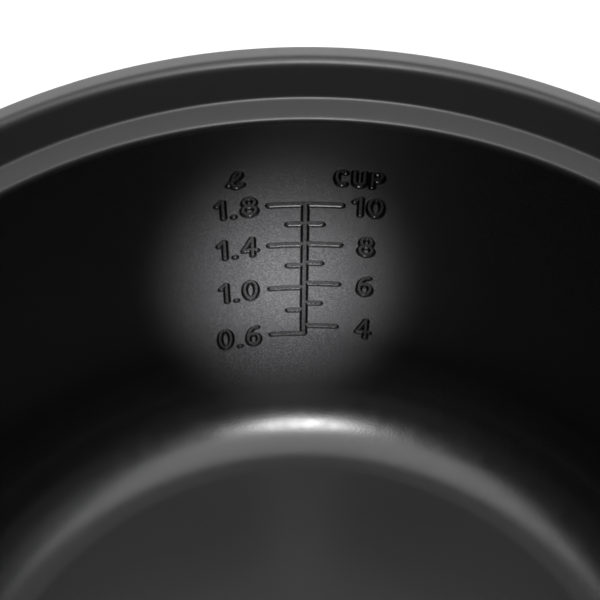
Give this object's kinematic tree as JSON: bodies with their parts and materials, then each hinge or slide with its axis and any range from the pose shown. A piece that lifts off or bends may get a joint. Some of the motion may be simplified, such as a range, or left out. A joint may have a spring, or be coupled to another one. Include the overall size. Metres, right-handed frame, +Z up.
{
  "type": "rice cooker",
  "caption": "Jar-type rice cooker with a removable black non-stick inner pot, hinged lid standing open, front cooking lever, latch button and carrying handle.",
  "frame": {"origin": "on the surface the cooker stands on, under the centre of its box with the lid open", "axes": "+Z up, -Y towards the front with the cooking lever, +X to the right as seen from the front"},
  "size_m": [0.292, 0.3719, 0.4852],
  "materials": {
    "white_body": "glossy moulded white",
    "grey_trim": "satin moulded grey",
    "black_plastic": "fine matt texture",
    "pot_coating": "black satin non-stick coating over aluminium",
    "aluminium": "brushed",
    "steel": "plated",
    "rubber_feet": "matt",
    "silicone": "translucent grey silicone",
    "ferrite": "matt sintered",
    "insulation": "needled glass felt",
    "brass": "plain",
    "amber_lens": "clear tinted",
    "red_lens": "clear tinted",
    "clear_plastic": "clear",
    "circuit_green": "solder-masked board",
    "terminal_cream": "moulded"
  },
  "bodies": {
    "base": {"outer_shell": "white_body", "top_collar": "white_body", "inner_can": "aluminium", "base_tray": "grey_trim", "bottom_cover": "grey_trim", "heating_plate": "aluminium", "heating_element": "steel", "thermostat_housing": "steel", "sensor_spring": "steel", "keep_warm_heater": "brass", "lever_bracket": "steel", "lever_pin": "steel", "microswitch": "black_plastic", "terminal_block": "terminal_cream", "lamp_board": "circuit_green", "front_panel": "grey_trim", "cook_lamp": "red_lens", "warm_lamp": "amber_lens", "button_bezel": "grey_trim", "latch_spring": "steel", "hinge_bracket": "white_body", "hinge_pin": "steel", "hinge_spring": "steel", "power_inlet": "black_plastic", "inlet_pin_left": "brass", "inlet_pin_right": "brass", "foot_1": "rubber_feet", "foot_2": "rubber_feet", "foot_3": "rubber_feet", "foot_4": "rubber_feet", "base_screw_1": "steel", "base_screw_2": "steel", "plate_post_1": "steel", "plate_post_2": "steel", "plate_post_3": "steel"},
    "lid": {"lid_shell": "white_body", "lid_frame": "grey_trim", "lid_insulation": "insulation", "lid_hinge_arm": "grey_trim", "lid_hook": "steel", "steam_duct": "grey_trim", "inner_lid": "aluminium", "inner_lid_gasket": "silicone", "inner_lid_knob": "black_plastic", "handle_pin_left": "steel", "handle_pin_right": "steel"},
    "handle": {"carry_handle": "grey_trim"},
    "steam_cap": {"steam_cap": "grey_trim"},
    "pot": {"inner_pot": "pot_coating"},
    "button": {"release_button": "grey_trim"},
    "latch": {"latch_slider": "steel"},
    "lever": {"cooking_lever": "steel", "cooking_knob": "black_plastic"},
    "magnet": {"moving_magnet": "ferrite", "magnet_rod": "steel"},
    "sensor": {"sensor_cap": "aluminium", "ferrite_disc": "ferrite"},
    "rocker": {"keep_warm_rocker": "black_plastic"},
    "dew_cup": {"dew_cup": "clear_plastic"}
  },
  "joints": [
    {"name": "lid_hinge", "type": "hinge", "parent": "base", "child": "lid", "pos_m": [0, 0.118, 0.2], "axis": [1, 0, 0], "range_deg": [0, 90]},
    {"name": "handle_swing", "type": "hinge", "parent": "lid", "child": "handle", "pos_m": [0, 0.139, 0.348], "axis": [1, 0, 0], "range_deg": [0, 90]},
    {"name": "steam_cap_pull", "type": "slide", "parent": "lid", "child": "steam_cap", "axis": [0, 1, 0], "range_m": [0, 0.04]},
    {"name": "pot_turn", "type": "hinge", "parent": "base", "child": "pot", "pos_m": [0, -0.03, 0.1], "axis": [0, 0, 1], "continuous": true},
    {"name": "button_press", "type": "slide", "parent": "base", "child": "button", "axis": [0, 1, 0], "range_m": [0, 0.003], "stiffness_N_per_m": 600, "springref_m": -0.004},
    {"name": "latch_slide", "type": "slide", "parent": "base", "child": "latch", "axis": [0, 1, 0], "range_m": [0, 0.003]},
    {"name": "cook_lever", "type": "hinge", "parent": "base", "child": "lever", "pos_m": [0, -0.075, 0.034], "axis": [1, 0, 0], "range_deg": [0, 3.5], "stiffness_Nm_per_rad": 0.5, "springref_deg": -11.46},
    {"name": "magnet_rise", "type": "slide", "parent": "base", "child": "magnet", "axis": [0, 0, 1], "range_m": [0, 0.003]},
    {"name": "sensor_press", "type": "slide", "parent": "base", "child": "sensor", "axis": [0, 0, 1], "range_m": [-0.0012, 0], "stiffness_N_per_m": 600, "springref_m": 0.003},
    {"name": "warm_rocker", "type": "hinge", "parent": "base", "child": "rocker", "pos_m": [0, -0.169, 0.06], "axis": [1, 0, 0], "range_deg": [-16, 0]},
    {"name": "dew_cup_slide", "type": "slide", "parent": "base", "child": "dew_cup", "axis": [0, 1, 0], "range_m": [0, 0.03]}
  ],
  "couplings": [
    {"joint": "latch_slide", "follows": "button_press", "ratio": 1},
    {"joint": "magnet_rise", "follows": "cook_lever", "m_per_rad": 0.045}
  ]
}
